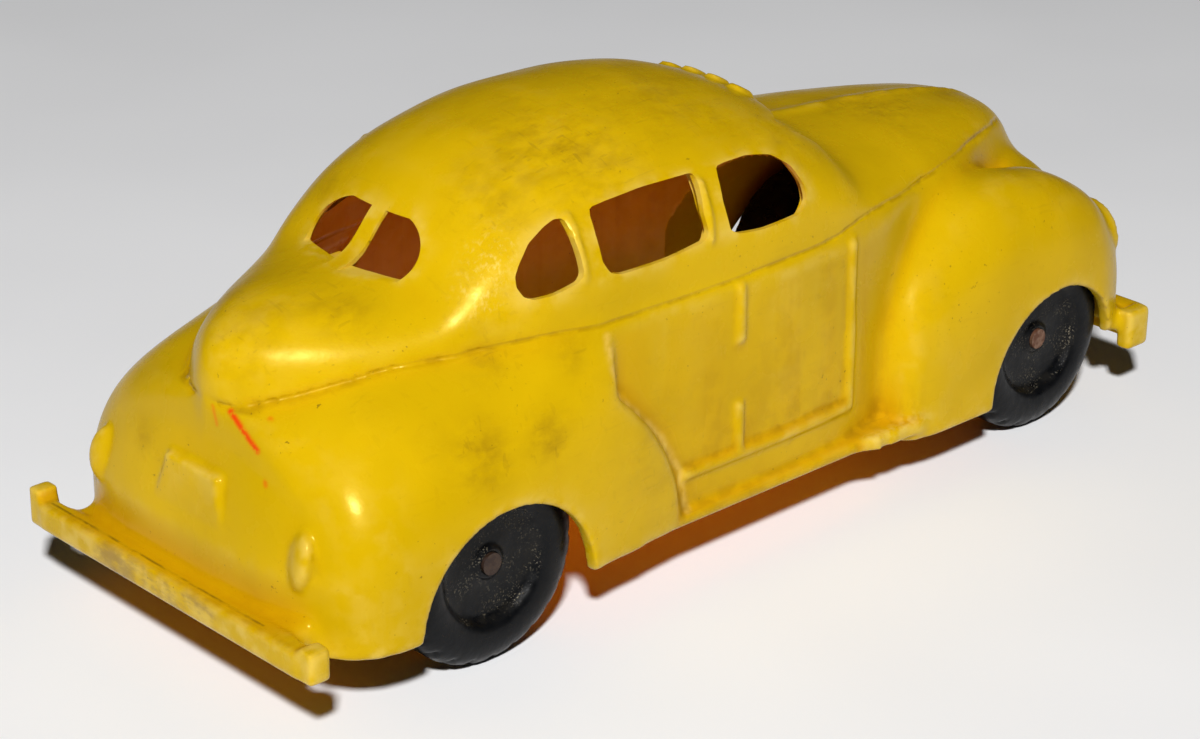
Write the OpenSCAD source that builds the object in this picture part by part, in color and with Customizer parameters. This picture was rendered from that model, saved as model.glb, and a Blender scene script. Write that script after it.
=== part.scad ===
// Toy taxi: a one-piece moulded sedan body, open underneath, on two axles with pressed-on wheels.
// Millimetres. +X is forward, +Y is the car's left side, +Z is up, the tyres stand on z = 0.

/* [Overall] */
// Length over both bumpers
overall_length = 120; // [100:1:140]
// Width over the fenders
fender_width = 44; // [40:0.5:50]
// Width of the cabin at the belt line
cabin_width = 37.8; // [33:0.2:39]
// Height of the roof crest
roof_height = 46.6; // [42:0.2:52]
// Height of the belt line above the doors
belt_height = 30.4; // [28:0.2:33]
// Height of the body's bottom edge at the sills
sill_height = 5.8; // [4.5:0.1:7]
// Wall thickness of the moulded shell
wall = 1.6; // [1.2:0.1:2.2]

/* [Running gear] */
// Distance between the axles, as part of the overall length
wheelbase_part = 0.658333; // [0.6:0.005:0.7]
// Middle of the wheelbase forward of the middle of the car, as part of the overall length
shift_part = 0.0291667; // [0.01:0.002:0.04]
// Radius of the tyres
wheel_radius = 10.4; // [9:0.1:11.4]
// Width of a tyre
wheel_width = 6.2; // [5:0.1:7]
// Distance from the outside of a fender in to the outer face of its wheel
wheel_inset = 2.6; // [2.2:0.1:4]
// Diameter of the axle wire
axle_diameter = 2.2; // [1.8:0.1:3]
// Radial running clearance of an axle in its bearings
axle_clearance = 0.06; // [0.03:0.01:0.1]
// Radial interference of a wheel pressed on its axle
press = 0.02; // [0.01:0.01:0.05]
// Distance from the middle of the car to the middle of a bearing rib
rib_offset = 5.6; // [5:0.1:6]
// Thickness of a bearing rib
rib_thickness = 2; // [1.6:0.1:3]
// Gap between a wheel's inner boss and the bearing rib
boss_gap = 0.5; // [0.3:0.1:1]
// Gap between a wheel arch and the tyre's radius
arch_gap = 0.2; // [0:0.1:1]

/* [Windows] */
// Height of the side windows' lower edge
window_sill = 34.6; // [33:0.1:36]
// Height of the side windows
window_height = 6.4; // [5:0.1:7]
// Width of each rear window
rear_window_width = 6; // [4:0.1:7]
// Half width of the bar between the rear windows
rear_bar = 1.4; // [1:0.1:2]

/* [Raised details] */
// Height of the door beads
bead_height = 0.45; // [0.2:0.05:0.8]
// Width of the door beads
bead_width = 0.9; // [0.6:0.1:1.4]
// Width of the thin beads on the window pillars
pillar_bead = 0.6; // [0.4:0.1:1]
// Height of the roof pads and of the number plate's upper edge
pad_height = 0.7; // [0.3:0.1:1]
// Height of a bumper bar
bumper_height = 3.4; // [2.5:0.1:4.5]
// Thickness of a bumper bar
bumper_thickness = 2; // [1.5:0.1:3]
// Width of the running board beyond the belt line
board_width = 1.5; // [1:0.1:3]
// Thickness of the running board
board_thickness = 1.3; // [0.8:0.1:2]

/* [Hidden] */
$fn = 48;
half_length = overall_length / 2;
stretch = overall_length / 120;
fender_half = fender_width / 2;
cabin_half = cabin_width / 2;
rise = roof_height - belt_height;
wide = fender_width / 44;
tall = belt_height / 30.4;
front_x = overall_length * (shift_part + wheelbase_part / 2);
rear_x = overall_length * (shift_part - wheelbase_part / 2);
axle_radius = axle_diameter / 2;
bearing_radius = axle_radius + axle_clearance;
wheel_outer = fender_half - wheel_inset;
wheel_inner = wheel_outer - wheel_width;
boss_inner = rib_offset + rib_thickness / 2 + boss_gap;
arch_radius = wheel_radius + arch_gap;
arch_z = wheel_radius - 4;
tail_x = -54.4 * stretch;
nose_x = 56 * stretch;

// Station tables. First column: stations along the car, for a 120 mm car.
// Crest of the roof, hood and tail: part of the rise from the belt to the roof
crest_table = [[-54.4, -0.22], [-54, -0.05], [-53, 0.07], [-51, 0.165], [-46, 0.255], [-40.5, 0.285],
    [-37, 0.34], [-33.3, 0.575], [-28.5, 0.79], [-22, 0.925], [-13, 1], [-5, 0.99], [2, 0.935], [8, 0.82],
    [12.5, 0.66], [16.5, 0.44], [20, 0.385], [31, 0.33], [43, 0.235], [50.5, 0.1], [53, -0.04],
    [55, -0.24], [56, -0.5]];
// Half width at the belt: part of the cabin's half width
belt_table = [[-54.4, 0.01], [-54, 0.1], [-53, 0.2], [-51, 0.335], [-45, 0.545], [-38, 0.72], [-30, 0.88],
    [-22, 0.965], [-12, 0.995], [0, 1], [10, 0.98], [18, 0.91], [28, 0.74], [38, 0.565],
    [46, 0.42], [52, 0.28], [55.2, 0.15], [56, 0.01]];
// Belt line below its height at the doors
drop_table = [[-54.4, 5.2], [-50, 3.8], [-42, 1.5], [-34, 0.1], [-24, -0.1], [12, 0.1], [32, -0.3],
    [44, -0.2], [50, 1.4], [53, 3.6], [56, 10]];
// Fullness of the section above the belt
full_table = [[-54.4, 1.9], [-40, 2.1], [-25, 2.6], [-8, 3], [4, 3], [12, 2.5], [20, 2], [56, 2]];
// Rear fender: half width as part of the widest, and its crest above the belt
rear_half_table = [[-57, 0.985], [-47, 0.99], [-36, 1], [-28, 0.99], [-20, 0.963], [-11, 0.918]];
rear_crest_table = [[-57, -4.4], [-52, -3.6], [-46, -1], [-40.6, 1.2], [-31.6, 5], [-26, 8.6], [-21, 13.5], [-11, 16]];
// Front fender: half width as part of the widest, and its crest above the belt
front_half_table = [[18.4, 0.845], [19.2, 0.915], [21, 0.967], [25, 0.986], [40, 0.99], [50, 0.975],
    [54.5, 0.91], [57, 0.8], [57.8, 0.68]];
front_crest_table = [[18.4, -17], [19.1, -13], [20.4, -8.8], [24, -4.6], [30, -1.8], [37, -0.8], [44, -1.7],
    [51, -4.8], [55.5, -9], [57.8, -14.4]];
front_crown = 14.6 * wide;
// Shelf between the hood and the front fenders: its height, and its half width as part of the widest
shelf_table = [[38, 26.4], [46, 27.4], [50, 27.4], [52.2, 26.9], [53.9, 25.6], [54.9, 23.4], [55.4, 19.6]];
shelf_half_table = [[38, 0.64], [50, 0.66], [53.9, 0.62], [55.4, 0.46]];
// Step below the belt, and the ridge along the hood
step_table = [[-31, 0], [-22, 0.35], [30, 0.35], [50, 0.1]];
ridge_table = [[17, 0], [22, 0.45], [49, 0.4], [54, 0]];
apron_top = 19 * tall;
board_z = sill_height + 1;
bumper_top = sill_height + 4.6;

// Smooth curve through a station table
function seg(p, x, i = 0) = (i >= len(p) - 2 || x <= p[i + 1][0]) ? i : seg(p, x, i + 1);
function chord(p, i) = (p[i + 1][1] - p[i][1]) / (p[i + 1][0] - p[i][0]);
function slope(p, i) =
    i == 0 ? chord(p, 0) :
    i == len(p) - 1 ? chord(p, i - 1) :
    chord(p, i - 1) * chord(p, i) <= 0 ? 0 :
    2 * chord(p, i - 1) * chord(p, i) / (chord(p, i - 1) + chord(p, i));
function curve(p, x) =
    let (i = seg(p, x))
    let (h = p[i + 1][0] - p[i][0])
    let (t = min(1, max(0, (x - p[i][0]) / h)))
    (2 * t ^ 3 - 3 * t ^ 2 + 1) * p[i][1] + (t ^ 3 - 2 * t ^ 2 + t) * h * slope(p, i)
    + (3 * t ^ 2 - 2 * t ^ 3) * p[i + 1][1] + (t ^ 3 - t ^ 2) * h * slope(p, i + 1);

// Body lines along the car
function crest_z(x) = belt_height + rise * curve(crest_table, x / stretch);
function belt_y(x) = cabin_half * curve(belt_table, x / stretch);
function belt_z(x) = belt_height - tall * curve(drop_table, x / stretch);
function full(x) = curve(full_table, x / stretch);
function deck_z(x, y) = belt_z(x) + (crest_z(x) - belt_z(x))
    * (1 - min(1, abs(y) / belt_y(x)) ^ 2) ^ (1 / full(x));

// A closed skin through rings that run up one side and down the other
module skin(rings) {
    n = len(rings[0]);
    m = len(rings);
    points = [for (r = rings) for (p = r) p];
    sides = [for (i = [0:m - 2]) for (j = [0:n - 1])
        let (k = (j + 1) % n)
        let (a = i * n + j, b = i * n + k, c = a + n, d = b + n)
        each [[a, b, c], [b, d, c]]];
    caps = [for (e = [0, m - 1]) for (j = [0:floor(n / 2) - 1])
        let (a = e * n + j, b = a + 1, c = e * n + n - 2 - j, d = c + 1)
        each (b == c ? [e == 0 ? [a, d, b] : [a, b, d]]
            : e == 0 ? [[a, d, b], [b, d, c]] : [[a, b, d], [b, c, d]])];
    polyhedron(points, concat(sides, caps), convexity = 8);
}

// Upper body: doors, cabin, hood and tail; grown or shrunk by d
function upper_ring(x, d, low, nv) =
    let (w = max(0.12, belt_y(x) - d), b = belt_z(x))
    let (c = max(b + 0.8, crest_z(x) - d))
    let (foot = x < -51 * stretch ? max(low, b - 1) : low)
    let (st = curve(step_table, x / stretch))
    let (right = [[x, -w - 0.15 - (d > 0 ? 1 : 1.6) * st, foot], [x, -w - st - 0.01, b - 0.1 - 0.7 * st],
        for (k = [0:nv - 1]) let (a = 90 * k / nv)
            [x, -w * cos(a), b + (c - b) * sin(a) ^ (2 / full(x))]])
    concat(right, [[x, 0, c + (d > 0 ? 0 : curve(ridge_table, x / stretch))]], [for (k = [len(right) - 1:-1:0]) [x, -right[k][1], right[k][2]]]);
module upper(d, low, nx, nv) {
    a = tail_x + d;
    b = nose_x - d;
    skin([for (i = [0:nx])
        let (t = i / nx)
        let (x = a + (b - a) * (0.3 * t + 0.7 * (1 - cos(180 * t)) / 2))
        upper_ring(x, d, low, nv)]);
}

// Lower body wrapping one end: s = -1 rear, s = 1 front
function wrap_point(s, i, nf, nc, k, nv, d, low, x_in, x_k, x_end, lean) =
    let (a = k == 0 ? 0 : 90 * (k - 1) / nv)
    let (g = cos(a) ^ 0.76, h = sin(a), q = i <= nf ? 0 : 90 * (i - nf) / nc)
    let (e = x_end - s * d - s * lean * h)
    let (x = i <= nf ? x_in + (x_k - x_in) * i / nf : x_k + (e - x_k) * sin(q) ^ 0.62)
    let (w = fender_half * (s < 0 ? curve(rear_half_table, x / stretch) : 0.945) - d)
    let (c = (s < 0 ? min(belt_height + tall * curve(rear_crest_table, x / stretch), crest_z(x) - wall) : apron_top) - d)
    [x, max(0.06, w * g * (q == 90 ? 0 : cos(q) ^ 0.62)), k == 0 ? low : 14 * tall + (c - 14 * tall) * h];
module wrap(s, d, low, nf, nc, nv) {
    x_in = (s < 0 ? -11 : 22) * stretch;
    x_k = (s < 0 ? -46 : 46) * stretch;
    x_end = (s < 0 ? -57.2 : 56.5) * stretch;
    lean = s < 0 ? 3.4 : 1.5;
    rings = [for (i = [0:nf + nc])
        let (side = [for (k = [0:nv]) wrap_point(s, i, nf, nc, k, nv, d, low, x_in, x_k, x_end, lean)])
        let (top = wrap_point(s, i, nf, nc, nv + 1, nv, d, low, x_in, x_k, x_end, lean))
        concat([for (p = side) [p[0], -p[1], p[2]]], [[top[0], 0, top[2]]],
            [for (k = [nv:-1:0]) side[k]])];
    skin(s < 0 ? [for (i = [nf + nc:-1:0]) rings[i]] : rings);
}

// Front fender crown on the car's left side
function crown_ring(x, d, low, nv) =
    let (c = max(13.5 * tall, belt_height + tall * curve(front_crest_table, x / stretch) - d))
    let (w = max(0.5, fender_half * curve(front_half_table, x / stretch) - front_crown - d))
    concat([[x, front_crown - w, low]],
        [for (k = [0:nv]) let (a = 180 - 180 * k / nv)
            [x, front_crown + w * sign(cos(a)) * abs(cos(a)) ^ 0.85, 13 * tall + (c - 13 * tall) * max(0, sin(a)) ^ 0.9]],
        [[x, front_crown + w, low]]);
module crown(d, low, nx, nv) {
    a = 18.4 * stretch + d;
    b = 57.8 * stretch - d;
    skin([for (i = [0:nx])
        let (t = (1 - cos(180 * i / nx)) / 2)
        crown_ring(a + (b - a) * t, d, low, nv)]);
}

// Shelf that fills the valley between the hood and the front fenders
function shelf_ring(x, d, low, nv) =
    let (c = tall * curve(shelf_table, x / stretch) - d)
    let (w = fender_half * curve(shelf_half_table, x / stretch) - d)
    concat([[x, -w, low]],
        [for (k = [0:nv]) let (a = 180 - 180 * k / nv)
            [x, w * sign(cos(a)) * abs(cos(a)) ^ 0.6, 13 * tall + (c - 13 * tall) * max(0, sin(a)) ^ 0.6]],
        [[x, w, low]]);
module shelf(d, low, nx, nv) {
    a = 38 * stretch + d;
    b = 55.4 * stretch - d;
    skin([for (i = [0:nx])
        shelf_ring(a + (b - a) * sin(90 * i / nx), d, low, nv)]);
}

// Side view of the rear fender: an arc about the wheel, and the part behind the rear door
module fender_side(d) {
    r = wheel_radius + 14.2 - d;
    intersection() {
        union() {
            translate([rear_x - 0.9, wheel_radius - 6.4]) circle(r, $fn = 64);
            translate([-70 * stretch, 0]) square([70 * stretch + rear_x + 14.6 - d, 60]);
        }
        translate([-70 * stretch, 0]) square([70 * stretch - 11 * stretch, 60]);
    }
}
module side_cut(span) {
    rotate([90, 0, 0])
        translate([0, 0, -span])
            linear_extrude(2 * span)
                children();
}

module outer_form(grow) {
    upper(-grow, board_z, 48, 8);
    intersection() {
        wrap(-1, -grow, sill_height + 1, 12, 9, 8);
        side_cut(40) fender_side(-grow);
    }
    difference() {
        union() {
            wrap(1, -grow, sill_height, 6, 9, 5);
            shelf(-grow, sill_height, 8, 8);
            for (m = [0, 1])
                mirror([0, m, 0]) crown(-grow, sill_height, 18, 10);
        }
        // ahead of the front wheels the body ends above the bumper's lower edge
        translate([48.5 * stretch, -40, -5]) cube([20, 80, 5 + bumper_top - 1.8]);
    }
}
module inner_form() {
    upper(wall, -2, 30, 6);
    intersection() {
        wrap(-1, wall, -2, 9, 6, 6);
        side_cut(40) fender_side(wall);
    }
    wrap(1, wall, -2, 5, 6, 4);
    shelf(wall, -2, 6, 6);
    for (m = [0, 1])
        mirror([0, m, 0]) crown(wall, -2, 12, 8);
}

// Side windows in side view: stations along the car, and parts of the window height above the sill
rear_quarter = [[-23.5, 0.88], [-23.6, 0.14], [-24.2, 0.04], [-26.7, -0.06], [-28.7, -0.08], [-29.7, -0.02],
    [-30.1, 0.12], [-29.9, 0.26], [-29.2, 0.4], [-27.6, 0.64], [-25.6, 0.81], [-24.4, 0.88]];
rear_side = [[-20.8, 0.95], [-14.5, 1.05], [-8.1, 1.04], [-7.9, 0.97], [-8.5, 0.5], [-8.3, 0.24], [-8.8, 0.1],
    [-13.5, 0.02], [-19.3, 0], [-20.6, 0.06], [-21.3, 0.25], [-21.2, 0.62]];
front_side = [[-5, 1.03], [-0.5, 1.02], [2.8, 0.92], [4.8, 0.7], [5.7, 0.39], [5.6, 0.17], [4.3, 0],
    [-0.8, -0.02], [-4.2, 0.04], [-5.4, 0.14], [-5.7, 0.58]];
module rounded(w, h, r) {
    translate([r, r]) offset(r, $fn = 24) square([w - 2 * r, h - 2 * r]);
}
module side_windows() {
    for (w = [rear_quarter, rear_side, front_side])
        offset(0.5, $fn = 16) offset(delta = -0.5)
            polygon([for (p = w) [p[0] * stretch, window_sill + p[1] * window_height]]);
}
// One rear window, drawn across the car
module rear_window() {
    translate([rear_bar, 0])
        intersection() {
            rounded(rear_window_width + 2, 4.4, 0.6);
            translate([0.4, 1.4]) scale([rear_window_width - 0.4, 3.3]) circle(1, $fn = 40);
        }
}
// One half of the windscreen, drawn across the car
module windscreen() {
    translate([0.9, 0]) rounded(11.6, 4.4, 1.2);
}
module windows() {
    side_cut(40) side_windows();
    for (m = [0, 1])
        mirror([0, m, 0]) {
            translate([-41 * stretch, 0, belt_height + 4.8])
                rotate([90, 0, 90]) linear_extrude(11 * stretch) rear_window();
            translate([7 * stretch, 0, belt_height + 6.9])
                rotate([90, 0, 90]) linear_extrude(14 * stretch) windscreen();
        }
}
module arches() {
    for (x = [rear_x, front_x])
        translate([x, 0, arch_z])
            rotate([90, 0, 0])
                cylinder(h = 80, r = arch_radius, center = true, $fn = 44);
    for (x = [rear_x, front_x])
        translate([x - arch_radius, -40, -3])
            cube([2 * arch_radius, 80, 3 + arch_z]);
}

// Door lines, drawn in side view
module line2(a, b, w) {
    span = norm(b - a);
    translate(a)
        rotate(atan2(b[1] - a[1], b[0] - a[0]))
            offset(w / 2, $fn = 8)
                translate([0, -0.01]) square([span, 0.02]);
}
module door_lines() {
    z1 = belt_height - 1;
    z0 = sill_height + 6.2;
    line2([12.2 * stretch, z0], [12.2 * stretch, z1], bead_width);
    line2([12.2 * stretch, z0], [-11.5 * stretch, z0], bead_width);
    line2([-4.4 * stretch, z0], [-4.4 * stretch, z0 + 5], bead_width);
    line2([-4.4 * stretch, z1 - 5], [-4.4 * stretch, z1], bead_width);
    for (x = [-23, -7.5])
        line2([(x - 0.2) * stretch, window_sill + 0.4], [(x + 0.2) * stretch, window_sill + window_height], pillar_bead);
}
module beads() {
    intersection() {
        upper(-bead_height, sill_height + 2, 30, 6);
        side_cut(40) door_lines();
    }
}

// Bumper bars follow a rounded plan; s = -1 rear, s = 1 front
module bumper_plan(inset) {
    offset(2.6 - inset, $fn = 32)
        square([overall_length - 5.2, fender_width - 0.2 - 5.2], center = true);
}
module bumper(s) {
    h = bumper_height * (s < 0 ? 0.85 : 1.2);
    z = bumper_top - h;
    reach = (s < 0 ? 2.6 : 3.6) * stretch;
    intersection() {
        translate([0, 0, z])
            linear_extrude(h)
                difference() {
                    bumper_plan(0);
                    bumper_plan(bumper_thickness);
                }
        translate([s * (half_length - reach / 2), 0, z + 10])
            cube([reach, 100, 30], center = true);
    }
    // turned up ends
    intersection() {
        translate([0, 0, z])
            linear_extrude(h + 1.2)
                difference() {
                    bumper_plan(0);
                    bumper_plan(bumper_thickness);
                }
        for (m = [-1, 1])
            translate([s * (half_length - reach + 1.1), m * fender_half, z + 10])
                cube([2.2, 4.4, 30], center = true);
    }
    // the ledge that joins the bar to the body
    translate([0, 0, bumper_top - 2])
        linear_extrude(1.7)
            intersection() {
                bumper_plan(bumper_thickness / 2);
                union() {
                    translate([s * (half_length - 3.1 * stretch), 0])
                        square([5 * stretch, 2 * fender_half - (s < 0 ? 10 : 2.4)], center = true);
                    translate([s * (half_length - 1.5 * stretch), 0])
                        square([1.8 * stretch, 2 * fender_half - 2.4], center = true);
                }
            }
}
module running_boards() {
    x0 = -14 * stretch;
    x1 = 21.5 * stretch;
    t = board_thickness;
    edge = cabin_half + board_width;
    for (m = [0, 1])
        mirror([0, m, 0]) {
            translate([x0, cabin_half - 1, board_z])
                rotate([90, 0, 90])
                    linear_extrude(x1 - x0)
                        polygon([[0, 0], [board_width + 0.7, 0], [board_width + 1, 0.3],
                            [board_width + 1, t - 0.3], [board_width + 0.7, t], [0, t + 0.7]]);
            // the wider front end, beside the front fender
            translate([0, 0, board_z + 0.13])
                linear_extrude(t)
                    polygon([[12 * stretch, edge - 1.4], [12.6 * stretch, edge - 0.2], [14.6 * stretch, edge + 0.9],
                        [20.6 * stretch, edge + 1.1], [22.9 * stretch, edge + 0.7], [22.9 * stretch, edge - 1.4]]);
        }
}
// The number plate: a wedge that stands out of the rear panel at its upper edge
module plate() {
    foot = sill_height + 9.9;
    high = 4.6;
    intersection() {
        translate([-57 * stretch, 0, foot])
            rotate([0, -atan(pad_height / high), 0])
                translate([57 * stretch, 0, -foot]) wrap(-1, 0, sill_height + 2, 10, 8, 8);
        translate([-70 * stretch, 0, foot])
            rotate([90, 0, 90]) linear_extrude(20 * stretch)
                polygon([[-4.9, 0], [4.9, 0], [3.9, high], [-3.9, high]]);
    }
}
// Long tail lamps on the rear corners
module tail_lamps() {
    for (m = [0, 1])
        mirror([0, m, 0])
            translate([-55.2 * stretch, 14.8 * wide, 15.7 * tall])
                rotate([0, 14, 0]) rotate([0, 0, 20])
                    scale([1.6, 1.9, 3.7]) sphere(1, $fn = 24);
}
module roof_pads() {
    intersection() {
        upper(-pad_height, sill_height + 2, 30, 6);
        for (k = [-1.5:1:1.5])
            translate([8.6 * stretch, k * 3.6 - 1.1, belt_height + 4]) cube([2.2, 2.2, 20]);
    }
}
module headlamps() {
    for (m = [0, 1])
        mirror([0, m, 0])
            translate([50 * stretch, 15 * wide, 18.63 * tall])
                rotate([0, 90, 0]) {
                    cylinder(h = 5.8 * stretch, r = 4, $fn = 32);
                    cylinder(h = 5.8 * stretch + 0.5, r = 3.2, $fn = 32);
                }
}

module shell_forms() {
    difference() {
        union() {
            outer_form(0);
            beads();
            bumper(-1);
            bumper(1);
            running_boards();
            plate();
            tail_lamps();
            roof_pads();
            headlamps();
        }
        inner_form();
        windows();
        arches();
    }
}
module bearing_rib(x, y, back, fore) {
    top_back = deck_z(x - back, abs(y) + rib_thickness / 2) - wall * 0.6;
    top_fore = deck_z(x + fore, abs(y) + rib_thickness / 2) - wall * 0.6;
    difference() {
        translate([0, y + rib_thickness / 2, 0])
            rotate([90, 0, 0])
                linear_extrude(rib_thickness)
                    polygon([[x - back, wheel_radius - 4], [x + fore, wheel_radius - 4],
                        [x + fore, min(top_fore, top_back + 0.3)], [x - back, top_back]]);
        translate([x, y, wheel_radius])
            rotate([90, 0, 0]) cylinder(h = rib_thickness + 2, r = bearing_radius, center = true);
        translate([x - axle_radius * 0.8, y - rib_thickness, wheel_radius - 6])
            cube([axle_diameter * 0.8, 2 * rib_thickness, 6]);
    }
}
module body_shell() {
    color("gold")
        resize([overall_length, 0, 0]) {
            shell_forms();
            for (y = [-rib_offset, rib_offset]) {
                bearing_rib(front_x, y, 4, 3);
                bearing_rib(rear_x, y, 6, 3);
            }
        }
}

module axle(x) {
    color("peru")
        translate([x, 0, wheel_radius])
            rotate([90, 0, 0])
                cylinder(h = 2 * wheel_outer - 1.2, r = axle_radius, center = true);
}
module front_axle() { axle(front_x); }
module rear_axle() { axle(rear_x); }

// Section of a wheel: first the radius, then the distance out from the middle of the car
module wheel_section() {
    r = wheel_radius;
    o = wheel_outer;
    i = wheel_inner;
    polygon([[axle_radius - press, boss_inner], [axle_radius + 1.6, boss_inner], [axle_radius + 1.6, i + 1.6],
        [r - 3.2, i + 1.6], [r - 2.4, i], [r - 1.4, i], [r - 0.5, i + 0.5], [r, i + 1.4],
        [r, o - 1.8], [r - 0.25, o - 1.1], [r - 0.8, o - 0.5], [r - 1.6, o - 0.15], [r - 2.2, o],
        [r - 2.9, o - 0.2], [r - 3.4, o - 1.1], [axle_radius + 1.2, o - 1.3], [axle_radius + 0.9, o - 0.9],
        [axle_radius - press, o - 0.9]]);
}
module wheel(x, s) {
    color("dimgray")
        translate([x, 0, wheel_radius])
            rotate([s > 0 ? -90 : 90, 0, 0])
                difference() {
                    rotate_extrude($fn = 64) wheel_section();
                    for (k = [0:23])
                        rotate(k * 15)
                            translate([wheel_radius + 0.25, 0, wheel_outer - 2.2])
                                rotate([0, 35, 0]) cylinder(h = 4, r = 0.6, center = true, $fn = 12);
                }
}
module wheel_front_left() { wheel(front_x, 1); }
module wheel_front_right() { wheel(front_x, -1); }
module wheel_rear_left() { wheel(rear_x, 1); }
module wheel_rear_right() { wheel(rear_x, -1); }

body_shell();
front_axle();
rear_axle();
wheel_front_left();
wheel_front_right();
wheel_rear_left();
wheel_rear_right();
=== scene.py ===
import math

import bmesh
import bpy
import numpy as np
from mathutils import Matrix, Vector


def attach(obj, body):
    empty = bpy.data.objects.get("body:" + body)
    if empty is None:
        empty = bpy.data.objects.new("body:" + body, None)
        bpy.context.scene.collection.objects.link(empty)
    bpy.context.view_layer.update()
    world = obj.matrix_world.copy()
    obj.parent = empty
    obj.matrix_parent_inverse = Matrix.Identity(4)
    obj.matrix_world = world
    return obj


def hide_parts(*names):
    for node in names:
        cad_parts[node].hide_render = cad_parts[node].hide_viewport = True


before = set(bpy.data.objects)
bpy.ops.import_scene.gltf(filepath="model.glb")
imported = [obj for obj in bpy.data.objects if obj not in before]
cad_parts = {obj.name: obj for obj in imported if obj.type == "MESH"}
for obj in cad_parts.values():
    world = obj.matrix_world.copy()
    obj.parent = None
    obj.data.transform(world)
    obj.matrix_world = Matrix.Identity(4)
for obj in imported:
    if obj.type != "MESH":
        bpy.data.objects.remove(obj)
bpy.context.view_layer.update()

# Driving sizes in millimetres, in the frame of the solids
MM = 0.001
LENGTH, FENDER_HALF, CABIN_HALF = 120.0, 22.0, 18.9
ROOF, BELT, SILL, WALL = 46.6, 30.4, 5.8, 1.6
RISE = ROOF - BELT
FRONT_X, REAR_X, WHEEL_R = 43.0, -36.0, 10.4
WHEEL_OUT, WHEEL_IN, AXLE_R = 19.4, 13.2, 1.1
HUB_R, HUB_IN, NOTCHES = 2.7, 7.1, 24
CROWN_Y, APRON_TOP = 14.6, 19.0
TAIL_X, NOSE_X = -54.4, 56.0
WIN_SILL, WIN_H = 34.6, 6.4
BOARD_Z, BOARD_T, BUMPER_TOP = 6.8, 1.3, 10.4
FENDER_R, FENDER_FRONT = 24.6, 14.6
ARCH_GAP, ARCH_DROP = .2, 4.0
REAR_WIN_Z, REAR_WIN_H = BELT + 4.8, 4.4
SCREEN_Z, SCREEN_H = BELT + 6.9, 4.4
LIP_WIDTH, LIP_SKIN = .9, .5
RIB_Y, RIB_HALF, SLOT_HALF, AXLE_GAP = 5.6, 1.0, .88, .06
DOOR_FRONT, DOOR_SPLIT, DOOR_BACK = 12.2, -4.4, -11.5
DOOR_LOW, DOOR_HIGH, DOOR_STUB = SILL + 6.2, BELT - 1, 5.0
DOOR_BEAD, DOOR_RISE = .9, .45
PILLARS, PILLAR_BEAD, PILLAR_RISE = (-23.3, -7.8), .4, .35
PLATE_LOW, PLATE_HIGH, PLATE_TIP = SILL + 9.9, SILL + 14.5, .8
TAIL_LAMP, TAIL_LAMP_SIZE = (-55.1, 14.8, 15.9), (1, 2, 2.9)
HEADLAMP, HEADLAMP_R, HEADLAMP_DEPTH = (52.9, 15, 18.6), 4.0, 5.8
LENS, LENS_SIZE = (55.6, 15, 18.6), (1, 3.2, 3.2)
PAD_BACK, PAD_FRONT, PAD_STEP, PAD_HALF, PAD_RISE = 8.6, 10.8, 3.3, .9, .6
# Cutters reach this far to both sides of the car
REACH = 40.0
COARSE_VOXEL, FINE_VOXEL, BODY_TRIANGLES = .5, .3, 185000

# Stations along the car and the value there
CREST = [(-54.4, -.22), (-54, -.05), (-53, .07), (-51, .165), (-46, .255), (-40.5, .285), (-37, .34),
         (-33.3, .575), (-28.5, .79), (-22, .925), (-13, 1), (-5, .99), (2, .935), (8, .82), (12.5, .66),
         (16.5, .44), (20, .385), (31, .33), (43, .235), (50.5, .1), (53, -.04), (55, -.24), (56, -.5)]
BELT_Y = [(-54.4, .01), (-54, .1), (-53, .2), (-51, .335), (-45, .545), (-38, .72), (-30, .88),
          (-22, .965), (-12, .995), (0, 1), (10, .98), (18, .91), (28, .74), (38, .565), (46, .42),
          (52, .28), (55.2, .15), (56, .01)]
DROP = [(-54.4, 5.2), (-50, 3.8), (-42, 1.5), (-34, .1), (-24, -.1), (12, .1), (32, -.3), (44, -.2),
        (50, 1.4), (53, 3.6), (56, 10)]
FULL = [(-54.4, 1.9), (-40, 2.1), (-25, 2.6), (-8, 3), (4, 3), (12, 2.5), (20, 2), (56, 2)]
STEP = [(-31, 0), (-22, .35), (30, .35), (50, .1)]
RIDGE = [(17, 0), (22, .45), (49, .4), (54, 0)]
REAR_HALF = [(-57, .985), (-47, .99), (-36, 1), (-28, .99), (-20, .963), (-11, .918)]
REAR_CREST = [(-57, -4.4), (-52, -3.6), (-46, -1), (-40.6, 1.2), (-31.6, 5), (-26, 8.6), (-21, 13.5),
              (-11, 16)]
FRONT_HALF = [(18.4, .845), (19.2, .915), (21, .967), (25, .986), (40, .99), (50, .975), (54.5, .91),
              (57, .8), (57.8, .68)]
FRONT_CREST = [(18.4, -17), (19.1, -13), (20.4, -8.8), (24, -4.6), (30, -1.8), (37, -.8), (44, -1.7),
               (51, -4.8), (55.5, -9), (57.8, -14.4)]
SHELF = [(38, 26.4), (46, 27.4), (50, 27.4), (52.2, 26.9), (53.9, 25.6), (54.9, 23.4), (55.4, 19.6)]
SHELF_HALF = [(38, .64), (50, .66), (53.9, .62), (55.4, .46)]
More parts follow.
